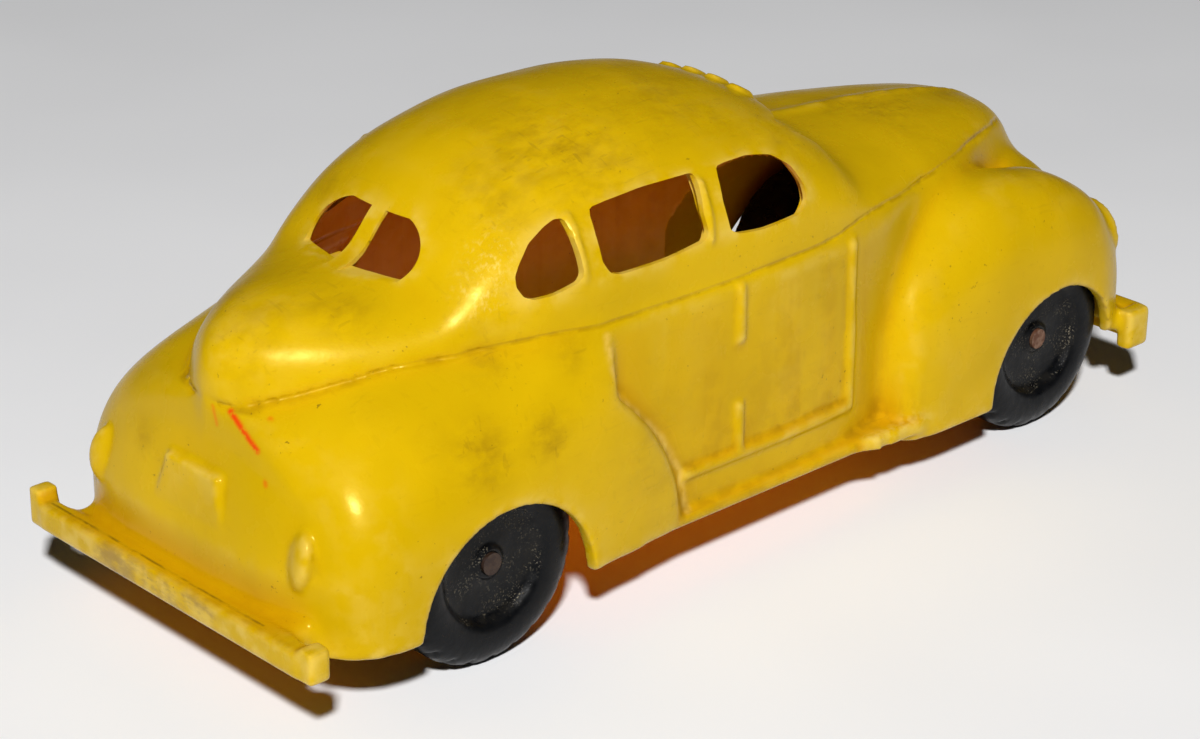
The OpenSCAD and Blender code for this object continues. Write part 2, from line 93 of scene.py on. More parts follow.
# The crease on one side: points along the car and the groove's radius
CREASE = [(-54.3, .4, 26.6, .3), (-53.6, 2.9, 26.3, .36), (-51.8, 5.3, 27, .36), (-49.1, 7.7, 27.8, .36),
          (-45.2, 10, 28.8, .36), (-41.1, 12.1, 29.7, .34), (-37.7, 13.7, 29.9, .32),
          (-34.2, 15.2, 30.3, .28), (-30.5, 16.5, 30.5, .26), (-26.4, 17.5, 30.5, .25),
          (-22.1, 18.5, 30.3, .25), (-17.4, 18.75, 30.4, .25), (-12.3, 18.85, 30.4, .25),
          (-5.6, 18.95, 30.4, .25), (2.8, 18.9, 30.6, .25), (9, 18.5, 30.8, .25), (14, 17.8, 31.5, .25),
          (18, 16.9, 31.5, .25), (22.4, 15.7, 31.3, .27), (27.4, 14.1, 31.2, .3), (32.4, 12.4, 31.2, .3),
          (37.7, 10.7, 31.2, .3), (43.1, 8.8, 31.2, .3), (48.5, 6.4, 30.8, .3), (51.5, 4.6, 29.9, .28)]
# Places that hands and shelves have soiled: middle, radius and strength
TOUCHED = [(-38.2, -20, 22.5, 3, 1), (-30.9, -20.7, 22.1, 2.5, .9), (-34, -16, 29.1, 2.2, .6),
           (-26.1, -18.5, 28.4, 1.8, .5), (-43.3, -7.8, 33, 3, .35), (-52, -2.8, 31.5, 2.5, .35),
           (-55, 8.4, 20.3, 1.6, .6), (-17.7, -12, 43.3, 6, .7), (-23.8, -10.4, 42.9, 5, .5),
           (-26.8, -12.3, 40.7, 4, .4), (-32.7, 8.2, 38.9, 3, .5), (-5, -9, 45.4, 6, .45),
           (32, -4.1, 35.4, 5, .4), (8, -19, 28, 4, .25), (-33, -14, 34, 4, .3), (-16, -20.6, 17, 4, .4),
           (-12, -20.4, 10, 3, .45), (45, -13, 27, 5, .25), (-37.9, 20.1, 22.4, 4, .4),
           (-9, 12, 43, 6, .5)]
# Side windows: stations along the car and parts of the window height above the sill
QUARTER = [(-23.5, .88), (-23.6, .14), (-24.2, .04), (-26.7, -.06), (-28.7, -.08), (-29.7, -.02),
           (-30.1, .12), (-29.9, .26), (-29.2, .4), (-27.6, .64), (-25.6, .81), (-24.4, .88)]
REAR_SIDE = [(-20.8, .95), (-14.5, 1.05), (-8.1, 1.04), (-7.9, .97), (-8.5, .5), (-8.3, .24), (-8.8, .1),
             (-13.5, .02), (-19.3, 0), (-20.6, .06), (-21.3, .25), (-21.2, .62)]
FRONT_SIDE = [(-5, 1.03), (-.5, 1.02), (2.8, .92), (4.8, .7), (5.7, .39), (5.6, .17), (4.3, 0),
              (-.8, -.02), (-4.2, .04), (-5.4, .14), (-5.7, .58)]
# The ragged flap on the running board, seen from above
FLAP = [(12, 19), (12.6, 20.4), (13.6, 20.9), (14.6, 21.35), (16, 21.2), (17.2, 21.5), (19, 21.35),
        (20.6, 21.6), (22, 21.5), (22.9, 21.1), (23, 20), (22, 19)]
# Wheel section: radius and depth below the outer face, then radius and height above the inner face
WHEEL_FACE = [(AXLE_R, .95), (1.25, .86), (1.45, .9), (1.65, 1.08), (1.85, 1.25), (2.2, 1.3), (4, 1.3),
              (4.9, 1.25), (5.4, 1.12), (5.75, .9), (6.05, .5), (6.35, .26), (6.8, .1), (7.4, .01),
              (8, 0), (8.6, .1), (9.2, .3), (9.65, .6), (10.05, 1), (10.3, 1.5), (WHEEL_R, 2), (WHEEL_R, 2.8)]
WHEEL_BACK = [(WHEEL_R, 2.2), (WHEEL_R, 1.4), (10.2, .9), (9.9, .5), (9.4, .15), (9, 0), (8, 0), (7.6, .3),
              (7.2, 1.6), (2.9, 1.6), (HUB_R, 1.4)]
# The worn joint between rear fender and door
JOINT = [(-21.8, -18.9, 29), (-21.9, -19.5, 26.5), (-21.2, -19.6, 23.6), (-19.3, -19.6, 21.5),
         (-15, -19.4, 16.7), (-12.7, -19.5, 12.8), (-11.7, -19.6, 8.2)]
# Wax marks under the tail: both ends, width and strength
WAX_MARKS = [((-53.7, -3.2, 26.1), (-54.1, -7.7, 23.8), .55, .9),
             ((-54.1, -1.2, 26), (-54.2, -1.9, 24.5), .4, .4),
             ((-52.1, -7.1, 26.1), (-52.1, -7.3, 25.9), .5, .5),
             ((-54.6, -9.3, 21.4), (-54.6, -9.4, 21.2), .5, .5)]


def curve(table, x):
    """Smooth curve through a station table, flat beyond its ends."""
    t = np.array(table, float)
    x = np.asarray(x, float)
    d = np.diff(t[:, 1]) / np.diff(t[:, 0])
    m = np.zeros(len(t))
    m[0], m[-1] = d[0], d[-1]
    a, b = d[:-1], d[1:]
    ok = a * b > 0
    m[1:-1][ok] = 2 * a[ok] * b[ok] / (a[ok] + b[ok])
    i = np.clip(np.searchsorted(t[:, 0], x) - 1, 0, len(t) - 2)
    h = t[i + 1, 0] - t[i, 0]
    u = np.clip((x - t[i, 0]) / h, 0, 1)
    return ((2 * u**3 - 3 * u**2 + 1) * t[i, 1] + (u**3 - 2 * u**2 + u) * h * m[i]
            + (3 * u**2 - 2 * u**3) * t[i + 1, 1] + (u**3 - u**2) * h * m[i + 1])


def crest_z(x):
    """Height of the middle line of roof, hood and tail."""
    return BELT + RISE * curve(CREST, x)


def belt_y(x):
    """Half width at the belt line."""
    return CABIN_HALF * curve(BELT_Y, x)


def belt_z(x):
    """Height of the belt line."""
    return BELT - curve(DROP, x)


def new_object(name, bm, smooth=True):
    """A mesh object made from a bmesh."""
    bmesh.ops.recalc_face_normals(bm, faces=bm.faces)
    me = bpy.data.meshes.new(name)
    bm.to_mesh(me)
    bm.free()
    if smooth:
        me.shade_smooth()
    o = bpy.data.objects.new(name, me)
    bpy.context.scene.collection.objects.link(o)
    return o


def loft(name, rings):
    """A closed solid through rings of points: a grid bent to them, welded and filled at both ends."""
    p = np.array(rings, float)
    p = np.concatenate([p, p[:, :1]], 1)
    m, n = p.shape[:2]
    bm = bmesh.new()
    bmesh.ops.create_grid(bm, x_segments=n - 1, y_segments=m - 1, size=1)
    for v, c in zip(bm.verts, p.reshape(-1, 3)):
        v.co = c
    bmesh.ops.remove_doubles(bm, verts=bm.verts, dist=1e-5)
    bmesh.ops.holes_fill(bm, edges=[e for e in bm.edges if e.is_boundary], sides=0)
    return new_object(name, bm)


def both_sides(right, top):
    """A ring up the right side, over the top point and down the left side."""
    return right + [top] + [(x, -y, z) for x, y, z in right[::-1]]


def upper(d, low, nx, nv):
    """Doors, cabin, hood and tail, shrunk by d."""
    t = np.linspace(0, 1, nx + 1)
    a, b = TAIL_X + d, NOSE_X - d
    flare = 1 if d > 0 else 1.6
    rings = []
    for x in a + (b - a) * (.3 * t + .35 * (1 - np.cos(math.pi * t))):
        half, belt = max(.12, belt_y(x) - d), float(belt_z(x))
        full, step = float(curve(FULL, x)), float(curve(STEP, x))
        top = max(belt + .8, crest_z(x) - d)
        foot = max(low, belt - 1) if x < -51 else low
        right = [(x, -half - .15 - flare * step, foot), (x, -half - step - .01, belt - .1 - .7 * step)]
        for k in range(nv):
            q = math.pi / 2 * k / nv
            right.append((x, -half * math.cos(q), belt + (top - belt) * math.sin(q) ** (2 / full)))
        ridge = 0 if d > 0 else float(curve(RIDGE, x))
        rings.append(both_sides(right, (x, 0, top + ridge)))
    return loft("upper", rings)


def wrap(s, d, low, nf, nc, nv):
    """The lower body around one end of the car: s = -1 rear, 1 front."""
    x_in, x_k, x_end, lean = (-11, -46, -57.2, 3.4) if s < 0 else (22, 46, 56.5, 1.5)

    def point(i, k):
        q = 0 if k == 0 else math.pi / 2 * (k - 1) / nv
        g, h = max(0, math.cos(q)) ** .76, math.sin(q)
        r = 0 if i <= nf else math.pi / 2 * (i - nf) / nc
        e = x_end - s * d - s * lean * h
        x = x_in + (x_k - x_in) * i / nf if i <= nf else x_k + (e - x_k) * math.sin(r) ** .62
        w = FENDER_HALF * (float(curve(REAR_HALF, x)) if s < 0 else .945) - d
        c = (min(BELT + float(curve(REAR_CREST, x)), float(crest_z(x)) - WALL) if s < 0 else APRON_TOP) - d
        return x, -max(.06, w * g * max(0, math.cos(r)) ** .62), low if k == 0 else 14 + (c - 14) * h

    rings = []
    for i in range(nf + nc + 1):
        x, _, z = point(i, nv + 1)
        rings.append(both_sides([point(i, k) for k in range(nv + 1)], (x, 0, z)))
    return loft("wrap", rings)


def crown(d, low, nx, nv, side):
    """One front fender crown."""
    a, b = 18.4 + d, 57.8 - d
    rings = []
    for i in range(nx + 1):
        x = a + (b - a) * (1 - math.cos(math.pi * i / nx)) / 2
        c = max(13.5, BELT + float(curve(FRONT_CREST, x)) - d)
        w = max(.5, FENDER_HALF * float(curve(FRONT_HALF, x)) - CROWN_Y - d)
        ring = [(x, side * (CROWN_Y - w), low)]
        for k in range(nv + 1):
            q = math.pi * (1 - k / nv)
            co = math.cos(q)
            ring.append((x, side * (CROWN_Y + w * math.copysign(abs(co) ** .85, co)),
                         13 + (c - 13) * max(0, math.sin(q)) ** .9))
        ring.append((x, side * (CROWN_Y + w), low))
        rings.append(ring)
    return loft("crown", rings)


def shelf(d, low, nx, nv):
    """The shelf between the hood and the front fenders."""
    a, b = 38 + d, 55.4 - d
    rings = []
    for i in range(nx + 1):
        x = a + (b - a) * math.sin(math.pi / 2 * i / nx)
        c, w = float(curve(SHELF, x)) - d, FENDER_HALF * float(curve(SHELF_HALF, x)) - d
        ring = [(x, -w, low)]
        for k in range(nv + 1):
            co, si = -math.cos(math.pi * k / nv), max(0, math.sin(math.pi * k / nv))
            ring.append((x, w * math.copysign(abs(co) ** .6, co), 13 + (c - 13) * si ** .6))
        rings.append(ring + [(x, w, low)])
    return loft("shelf", rings)


def prism(name, outline, lo, hi, axis):
    """An outline extruded along an axis: 'y' takes (x, z) points, 'x' takes (y, z), 'z' takes (x, y)."""
    def place(u, v, w):
        return {"y": (u, w, v), "x": (w, u, v), "z": (u, v, w)}[axis]
    bm = bmesh.new()
    face = bm.faces.new([bm.verts.new(place(u, v, lo)) for u, v in outline])
    out = bmesh.ops.extrude_face_region(bm, geom=[face])
    step = Vector(place(0, 0, hi - lo))
    bmesh.ops.translate(bm, verts=[g for g in out["geom"] if isinstance(g, bmesh.types.BMVert)], vec=step)
    return new_object(name, bm, False)


def drum(x, z, r, lo, hi, n):
    """A round bar across the car."""
    turn = [2 * math.pi * k / n for k in range(n)]
    return prism("drum", [(x + r * math.cos(q), z + r * math.sin(q)) for q in turn], lo, hi, "y")


def box(x0, z0, x1, z1, lo=-REACH, hi=REACH):
    """A block across the car, given by its side view."""
    return prism("box", [(x0, z0), (x1, z0), (x1, z1), (x0, z1)], lo, hi, "y")


def rounded(x0, y0, x1, y1, r, n=6):
    """Outline of a rectangle with round corners."""
    pts = []
    left, right, low, high = x0 + r, x1 - r, y0 + r, y1 - r
    for cx, cy, a in ((right, high, 0), (left, high, 90), (left, low, 180), (right, low, 270)):
        for k in range(n + 1):
            q = math.radians(a + 90 * k / n)
            pts.append((cx + r * math.cos(q), cy + r * math.sin(q)))
    return pts


def combine(base, others, how):
    """Boolean of base with each of the others, which are used up."""
    for o in others:
        m = base.modifiers.new("cut", "BOOLEAN")
        m.operation, m.object, m.solver = how, o, "MANIFOLD"
        bake(base)
        bpy.data.objects.remove(o)
    return base


def bake(o):
    """Turns an object's modifiers into its mesh."""
    dg = bpy.context.evaluated_depsgraph_get()
    me = bpy.data.meshes.new_from_object(o.evaluated_get(dg))
    o.modifiers.clear()
    old, o.data = o.data, me
    bpy.data.meshes.remove(old)
    return o


def remesh(o, size):
    """Joins all that overlaps into one even skin."""
    m = o.modifiers.new("voxels", "REMESH")
    m.mode, m.voxel_size = "VOXEL", size
    return bake(o)


def mesh_arrays(me):
    """Vertex places, and the two vertices of each edge."""
    co = np.zeros(len(me.vertices) * 3)
    me.vertices.foreach_get("co", co)
    ed = np.zeros(len(me.edges) * 2, np.int32)
    me.edges.foreach_get("vertices", ed)
    return co.reshape(-1, 3), ed.reshape(-1, 2)


def vertex_normals(me):
    """Normal of each vertex."""
    nor = np.zeros(len(me.vertices) * 3)
    me.vertices.foreach_get("normal", nor)
    return nor.reshape(-1, 3)


def neighbour_sum(ed, v):
    """Sum of a value over each vertex's neighbours."""
    n = len(v)
    return np.bincount(ed[:, 0], v[ed[:, 1]], n) + np.bincount(ed[:, 1], v[ed[:, 0]], n)


def store(me, name, values):
    """Keeps one number per vertex under a name."""
    me.attributes.new(name, "FLOAT", "POINT").data.foreach_set("value", np.asarray(values, np.float32))


def relax(me, steps, weight, concave_only):
    """Moves each vertex towards its neighbours; concave_only fills hollow corners alone."""
    co, ed = mesh_arrays(me)
    deg = np.bincount(ed.ravel(), minlength=len(co))[:, None]
    w = weight(co)[:, None] * .5
    for k in range(steps):
        lap = np.stack([neighbour_sum(ed, co[:, j]) for j in range(3)], 1) / deg - co
        if concave_only:
            if k % 8 == 0:
                me.vertices.foreach_set("co", co.ravel())
                me.update()
                nor = vertex_normals(me)
            lap = nor * np.maximum(0, (lap * nor).sum(1))[:, None]
        co = co + lap * w
    me.vertices.foreach_set("co", co.ravel())
    me.update()


def ease(a, b, x):
    """0 up to a, 1 from b on, and a smooth rise between them."""
    t = np.clip((x - a) / (b - a), 0, 1)
    return t * t * (3 - 2 * t)


def everywhere(co):
    """The same weight on the whole mesh."""
    return np.ones(len(co))


def corner_fill(co):
    """How fast hollow corners fill: most beside the hood, less on the rear ledge, a little elsewhere."""
    x, y, z = co.T
    hood = ease(15, 22, x) * (.35 + .65 * ease(22, 32, x)) * (1 - ease(54, 57, x))
    hood = hood * ease(9, 14, z) * ease(4, 7, abs(y))
    rear = (1 - ease(-56, -54, x)) * ease(9.2, 10, z) * (1 - ease(12, 15, z)) * (1 - ease(15, 18, abs(y)))
    return np.maximum(np.maximum(hood, .1 * rear), .012)


def hood_valley(co):
    """The valley between the hood and the front fenders, filled further."""
    x, y, z = co.T
    along = ease(32, 38, x) * (1 - ease(51, 54, x))
    return along * ease(21, 25, z) * ease(4, 6, abs(y)) * (1 - ease(11, 14, abs(y)))


def fender_side(d):
    """The rear fender's side view as two cutters: a drum about the wheel and all behind the rear door."""
    return (drum(REAR_X - .9, 4, FENDER_R - d, -REACH, REACH, 128),
            box(-70, 0, REAR_X + FENDER_FRONT - d, 60))


def rear_fender(d, low, nf, nc, nv):
    """The rear wrap trimmed to the fender's side view."""
    parts = []
    for cutter in fender_side(d):
        parts.append(combine(wrap(-1, d, low, nf, nc, nv), [cutter], "INTERSECT"))
    return combine(parts[0], [parts[1]], "UNION")


def body_form():
    """The outer form with its hollow corners filled, then hollowed out, opened and detailed."""
    crowns = [crown(0, SILL, 70, 48, side) for side in (1, -1)]
    front = combine(wrap(1, 0, SILL, 24, 34, 18), [shelf(0, SILL, 30, 40)] + crowns, "UNION")
    combine(front, [box(48.5, -5, 68.5, BUMPER_TOP - 1.8)], "DIFFERENCE")
    o = upper(0, BOARD_Z, 170, 34)
    combine(o, [rear_fender(0, SILL + 1, 50, 34, 30), front] + ledge(-1) + ledge(1), "UNION")
    remesh(o, COARSE_VOXEL)
    relax(o.data, 160, corner_fill, True)
    relax(o.data, 200, hood_valley, True)
    relax(o.data, 3, everywhere, False)
    grooves = crease_rods(o)
    combine(o, raised_forms(), "UNION")
    # hollow inside, open underneath
    inside = [upper(WALL, -2, 70, 14), rear_fender(WALL, -2, 24, 16, 14), wrap(1, WALL, -2, 12, 16, 8),
              shelf(WALL, -2, 16, 20)] + [crown(WALL, -2, 36, 24, side) for side in (1, -1)]
    combine(o, inside, "DIFFERENCE")
    combine(o, grooves + arches(), "DIFFERENCE")
    remesh(o, FINE_VOXEL)
    relax(o.data, 3, everywhere, False)
    combine(o, [prism("window", *w) for w in windows()] + window_lips(), "DIFFERENCE")
    return combine(o, bearing_ribs(), "UNION")


def soften(pts):
    """A closed outline with its corners cut round."""
    for cut in (.12, .25):
        sides = zip(np.array(pts), np.array(pts[1:] + pts[:1]))
        pts = [tuple(a * (1 - t) + b * t) for a, b in sides for t in (cut, 1 - cut)]
    return pts


def windows():
    """Window outlines with the span they are cut over and its axis."""
    cuts = []
    for window in (QUARTER, REAR_SIDE, FRONT_SIDE):
        cuts.append((soften([(x, WIN_SILL + k * WIN_H) for x, k in window]), -REACH, REACH, "y"))
    for s in (-1, 1):
        rear = []
        for a in range(0, 360, 6):
            y, z = 1.8 + 5.6 * math.cos(math.radians(a)), 1.4 + 3.3 * math.sin(math.radians(a))
            rear.append((s * max(1, y), REAR_WIN_Z + max(0, min(REAR_WIN_H, z))))
        cuts.append((soften(tidy_outline(rear)), -41, -30, "x"))
        screen = rounded(.9, SCREEN_Z, 12.5, SCREEN_Z + SCREEN_H, 1.2)
        cuts.append(([(s * y, z) for y, z in screen], 7, 21, "x"))
    return cuts


def window_lips():
    """Cutters that thin the wall behind each window's edge."""
    lips = []
    for outline, lo, hi, axis in windows():
        p = np.array(outline)
        middle, half = (p.max(0) + p.min(0)) / 2, (p.max(0) - p.min(0)) / 2
        wide = (p - middle) * (half + LIP_WIDTH) / half + middle
        cutter = prism("lip", [tuple(q) for q in wide], lo, hi, axis)
        lips.append(combine(upper(LIP_SKIN, BOARD_Z, 110, 22), [cutter], "INTERSECT"))
    return lips


def arches():
    """Cutters for the wheel arches."""
    r, z = WHEEL_R + ARCH_GAP, WHEEL_R - ARCH_DROP
    cuts = []
    for x in (REAR_X, FRONT_X):
        cuts.append(drum(x, z, r, -REACH, REACH, 96))
        cuts.append(box(x - r, -3, x + r, z))
    return cuts


def tube(path, n=10):
    """A round rod along points that each have their own radius."""
    points = [Vector(p[:3]) for p in path]
    turn = [2 * math.pi * k / n for k in range(n)]
    rings = []
    for k, p in enumerate(points):
        along = (points[min(k + 1, len(points) - 1)] - points[max(k - 1, 0)]).normalized()
        u = along.orthogonal() if not rings else u - along * u.dot(along)
        u = u.normalized()
        v = along.cross(u)
        rings.append([p + (u * math.cos(q) + v * math.sin(q)) * path[k][3] for q in turn])
    return loft("tube", rings)


def crease_rods(o):
    """Rods for the fine groove under the tail, along the belt and beside the hood, laid on the skin of o."""
    p = np.array(CREASE)
    t = np.linspace(0, len(p) - 1, 8 * len(p))
    fine = np.stack([np.interp(t, range(len(p)), p[:, k]) for k in range(4)], 1)
    rods = []
    for s in (-1, 1):
        laid = [(*o.closest_point_on_mesh(Vector((x, s * y, z)))[1], r) for x, y, z, r in fine]
        rods.append(tube(laid))
    return rods


def rib_top(x, y):
    """Height at which a rib ends inside the wall above it."""
    belt, crest = float(belt_z(x)), float(crest_z(x))
    part = (1 - min(1, (abs(y) + RIB_HALF) / float(belt_y(x))) ** 2) ** (1 / float(curve(FULL, x)))
    return belt + (crest - belt) * part - WALL * .6


def bearing_ribs():
    """Upright ribs inside the shell, with slots that the axle wires snap into."""
    low = WHEEL_R - ARCH_DROP
    ribs = []
    for x, back, fore in ((FRONT_X, 4, 3), (REAR_X, 6, 3)):
        for y in (-RIB_Y, RIB_Y):
            top = rib_top(x - back, y)
            top_fore = min(rib_top(x + fore, y), top + .3)
            side = [(x - back, low), (x + fore, low), (x + fore, top_fore), (x - back, top)]
            rib = prism("rib", side, y - RIB_HALF, y + RIB_HALF, "y")
            bore = drum(x, WHEEL_R, AXLE_R + AXLE_GAP, y - 2, y + 2, 40)
            slot = box(x - SLOT_HALF, low - 1, x + SLOT_HALF, WHEEL_R, y - 2, y + 2)
            ribs.append(combine(rib, [bore, slot], "DIFFERENCE"))
    return ribs


def tidy_outline(pts):
    """An outline without points that repeat."""
    out = []
    for p in pts:
        if not out or math.dist(p, out[-1]) > 1e-4:
            out.append(p)
    return out[:-1] if math.dist(out[0], out[-1]) < 1e-4 else out


def bead(a, b, width, rise):
    """A straight bead in side view, cut from the upper body grown by its rise."""
    a, b = Vector(a), Vector(b)
    d = (b - a).normalized()
    n = Vector((-d.y, d.x)) * width / 2
    a, b = a - d * width / 2, b + d * width / 2
    outline = [tuple(a + n), tuple(a - n), tuple(b - n), tuple(b + n)]
    return grown(rise, prism("line", outline, -REACH, REACH, "y"))


def grown(rise, cutter):
    """The part of the upper body, grown by a rise, that lies inside a cutter."""
    return combine(upper(-rise, SILL + 2, 90, 16), [cutter], "INTERSECT")


def ledge(s):
    """The ledge that joins a bumper to the body: s = -1 rear, 1 front."""
    wide, end = 17 if s < 0 else 20.8, LENGTH / 2
    plan = rounded(end - 5.6, -wide, end - .8, wide, 1), rounded(end - 2.4, -20.8, end - .7, 20.8, .6)
    return [prism("ledge", [(s * x, y) for x, y in p], BUMPER_TOP - 2, BUMPER_TOP - .3, "z") for p in plan]


def bumper(s):
    """A bumper bar with turned up ends: s = -1 rear, 1 front."""
    height, reach, tip = (3.4 * .85, 2.6, 0) if s < 0 else (3.4 * 1.2, 3.6, 1.2)
    half, bend, thick, end = FENDER_HALF - .1, 2.6, 2.0, LENGTH / 2

    def path(inset):
        pts = [(end - reach, half - inset)]
        r = bend - inset
        for k in range(9):
            q = math.radians(90 - 90 * k / 8)
            pts.append((end - bend + r * math.cos(q), half - bend + r * math.sin(q)))
        return tidy_outline(pts + [(x, -y) for x, y in pts[::-1]])

    plans = [(path(0) + path(thick)[::-1], BUMPER_TOP)]
    for side, rise in ((-1, .4), (1, 1.1)):
        y = side * (half - thick / 2)
        turned_up = rounded(end - reach - tip, y - thick / 2, end - reach + 2.4, y + thick / 2, .5)
        plans.append((turned_up, BUMPER_TOP + rise))
    return [prism("bar", [(s * x, y) for x, y in p], BUMPER_TOP - height, z, "z") for p, z in plans]


def tipped(out, z, height):
    """The rear of the lower body tipped about a level z, to stand out by so much at the height above."""
    o = wrap(-1, 0, SILL + 2, 20, 24, 20)
    at = Vector((-57, 0, z))
    turn = Matrix.Rotation(-math.atan(out / height), 4, "Y")
    o.data.transform(Matrix.Translation(at) @ turn @ Matrix.Translation(-at))
    return o


def running_boards():
    """A board along each side, with its ragged flap."""
    y, z, top = CABIN_HALF - 1, BOARD_Z, BOARD_Z + BOARD_T
    board = [(y, z), (y + 2.2, z), (y + 2.5, z + .3), (y + 2.5, top - .3), (y + 2.2, top), (y, top + .7)]
    parts = []
    for s in (-1, 1):
        parts.append(prism("board", [(s * a, b) for a, b in board], -14, 21.5, "x"))
        parts.append(prism("flap", [(a, s * b) for a, b in FLAP], z + .1, top + .2, "z"))
    return parts


def beads():
    """Raised lines round the doors and on the window pillars."""
    low, high = DOOR_LOW, DOOR_HIGH
    lines = [((DOOR_FRONT, low), (DOOR_FRONT, high)), ((DOOR_FRONT, low), (DOOR_BACK, low)),
             ((DOOR_SPLIT, low), (DOOR_SPLIT, low + DOOR_STUB)),
             ((DOOR_SPLIT, high - DOOR_STUB), (DOOR_SPLIT, high))]
    parts = [bead(a, b, DOOR_BEAD, DOOR_RISE) for a, b in lines]
    for x in PILLARS:
        a, b = (x - .2, WIN_SILL + .6), (x + .2, WIN_SILL + WIN_H - .5)
        parts.append(bead(a, b, PILLAR_BEAD, PILLAR_RISE))
    return parts


def number_plate():
    """The blank plate above the rear bumper."""
    outline = [(-4.9, PLATE_LOW), (4.9, PLATE_LOW), (3.9, PLATE_HIGH), (-3.9, PLATE_HIGH)]
    back = tipped(PLATE_TIP, PLATE_LOW, PLATE_HIGH - PLATE_LOW)
    return combine(back, [prism("plate", outline, -70, -50, "x")], "INTERSECT")


def ball(name, place, size, rows, turn):
    """A ball stretched to a size and turned."""
    bm = bmesh.new()
    shape = Matrix.Translation(place) @ turn @ Matrix.Diagonal((*size, 1))
    bmesh.ops.create_uvsphere(bm, u_segments=32, v_segments=rows, radius=1, matrix=shape)
    return new_object(name, bm)


def lamps(s):
    """Tail lamp, headlamp and its lens on one side."""
    def place(lamp):
        return lamp[0], s * lamp[1], lamp[2]
    lean = Matrix.Rotation(math.radians(14), 4, "Y") @ Matrix.Rotation(math.radians(20 * s), 4, "Z")
    tail = ball("tail_lamp", place(TAIL_LAMP), TAIL_LAMP_SIZE, 24, lean)
    bm = bmesh.new()
    laid = Matrix.Translation(place(HEADLAMP)) @ Matrix.Rotation(math.pi / 2, 4, "Y")
    bmesh.ops.create_cone(bm, cap_ends=True, segments=40, radius1=HEADLAMP_R, radius2=HEADLAMP_R,
                          depth=HEADLAMP_DEPTH, matrix=laid)
    barrel = new_object("headlamp", bm)
    return [tail, barrel, ball("lens", place(LENS), LENS_SIZE, 16, Matrix.Identity(4))]


def roof_pads():
    """Four plain pads over the windscreen."""
    pads = []
    for k in (-1.5, -.5, .5, 1.5):
        outline = rounded(PAD_BACK, k * PAD_STEP - PAD_HALF, PAD_FRONT, k * PAD_STEP + PAD_HALF, .4, 3)
        pads.append(grown(PAD_RISE, prism("pad", outline, 38, 60, "z")))
    return pads


def raised_forms():
    """All that stands out of the skin."""
    parts = bumper(-1) + bumper(1) + running_boards() + beads() + [number_plate()]
    return parts + lamps(-1) + lamps(1) + roof_pads()


body = body_form()
body.name = "body"
m = body.modifiers.new("lighter", "DECIMATE")
m.ratio = min(1, BODY_TRIANGLES / (2 * len(body.data.polygons)))
bake(body)
body.data.transform(Matrix.Scale(MM, 4))
body.data.shade_smooth()
body.data.set_sharp_from_angle(angle=math.radians(48))
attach(body, "body")
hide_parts("body_shell")


def notched(co):
    """A point of the wheel, drawn in where a notch crosses the shoulders of the tread."""
    far = math.hypot(co.x, co.z)
    notch = max(0, math.cos(NOTCHES * math.atan2(co.z, co.x))) ** 3
    outer, inner = ease(WHEEL_OUT - 2.4, WHEEL_OUT - 1.2, co.y), 1 - ease(WHEEL_IN + .6, WHEEL_IN + 1.8, co.y)
    k = 1 - .045 * notch * float(ease(9.2, 10.2, far) * max(outer, inner))
    return Vector((co.x * k, co.y, co.z * k))


def wheel(name, x, side):
    """A one-piece wheel: a spun section with notched tread shoulders."""
    section = [(r, WHEEL_OUT - d) for r, d in WHEEL_FACE] + [(r, WHEEL_IN + d) for r, d in WHEEL_BACK]
    section += [(HUB_R, HUB_IN), (AXLE_R, HUB_IN)]
    bm = bmesh.new()
    vs = [bm.verts.new((a, b, 0)) for a, b in section]
    es = [bm.edges.new((vs[k], vs[(k + 1) % len(vs)])) for k in range(len(vs))]
    bmesh.ops.spin(bm, geom=vs + es, cent=(0, 0, 0), axis=(0, 1, 0), angle=2 * math.pi, steps=192,
                   use_merge=True)
    bmesh.ops.remove_doubles(bm, verts=bm.verts, dist=1e-4)
    for v in bm.verts:
        p = notched(v.co)
        v.co = Vector((x + p.x, side * p.y, WHEEL_R + p.z)) * MM
    w = new_object(name, bm)
    co = mesh_arrays(w.data)[0] / MM
    far = np.hypot(co[:, 0] - x, co[:, 2] - WHEEL_R)
    dust = np.interp(far, (1.6, 3.4, 4.8, 5.7, 6.3), (.5, .15, .5, .9, 0))
    store(w.data, "dish", dust * (abs(co[:, 1]) > WHEEL_OUT - 2))
    w.data.set_sharp_from_angle(angle=math.radians(50))
    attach(w, "front_wheelset" if x > 0 else "rear_wheelset")
    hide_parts(name)
    return w


wheels = []
for end, x in (("front", FRONT_X), ("rear", REAR_X)):
    for hand, side in (("left", 1), ("right", -1)):
        wheels.append(wheel(f"wheel_{end}_{hand}", x, side))
for w in wheels:
    w.name = "vis_" + w.name


def rgb(code):
    """Linear shader colour from an sRGB hex code."""
    v = [int(code[k:k + 2], 16) / 255 for k in (1, 3, 5)]
    return [c / 12.92 if c <= .04045 else ((c + .055) / 1.055) ** 2.4 for c in v] + [1]


def node(tree, kind, values=None, out=0, **props):
    """Adds one shader node; values gives its sockets a constant or a link.

    Returns one of its outputs, or the node itself where out is None.
    """
    n = tree.nodes.new("ShaderNode" + kind)
    for k, v in props.items():
        setattr(n, k, v)
    for k, v in (values or {}).items():
        if isinstance(v, bpy.types.NodeSocket):
            tree.links.new(v, n.inputs[k])
        else:
            n.inputs[k].default_value = v
    return n if out is None else n.outputs[out]


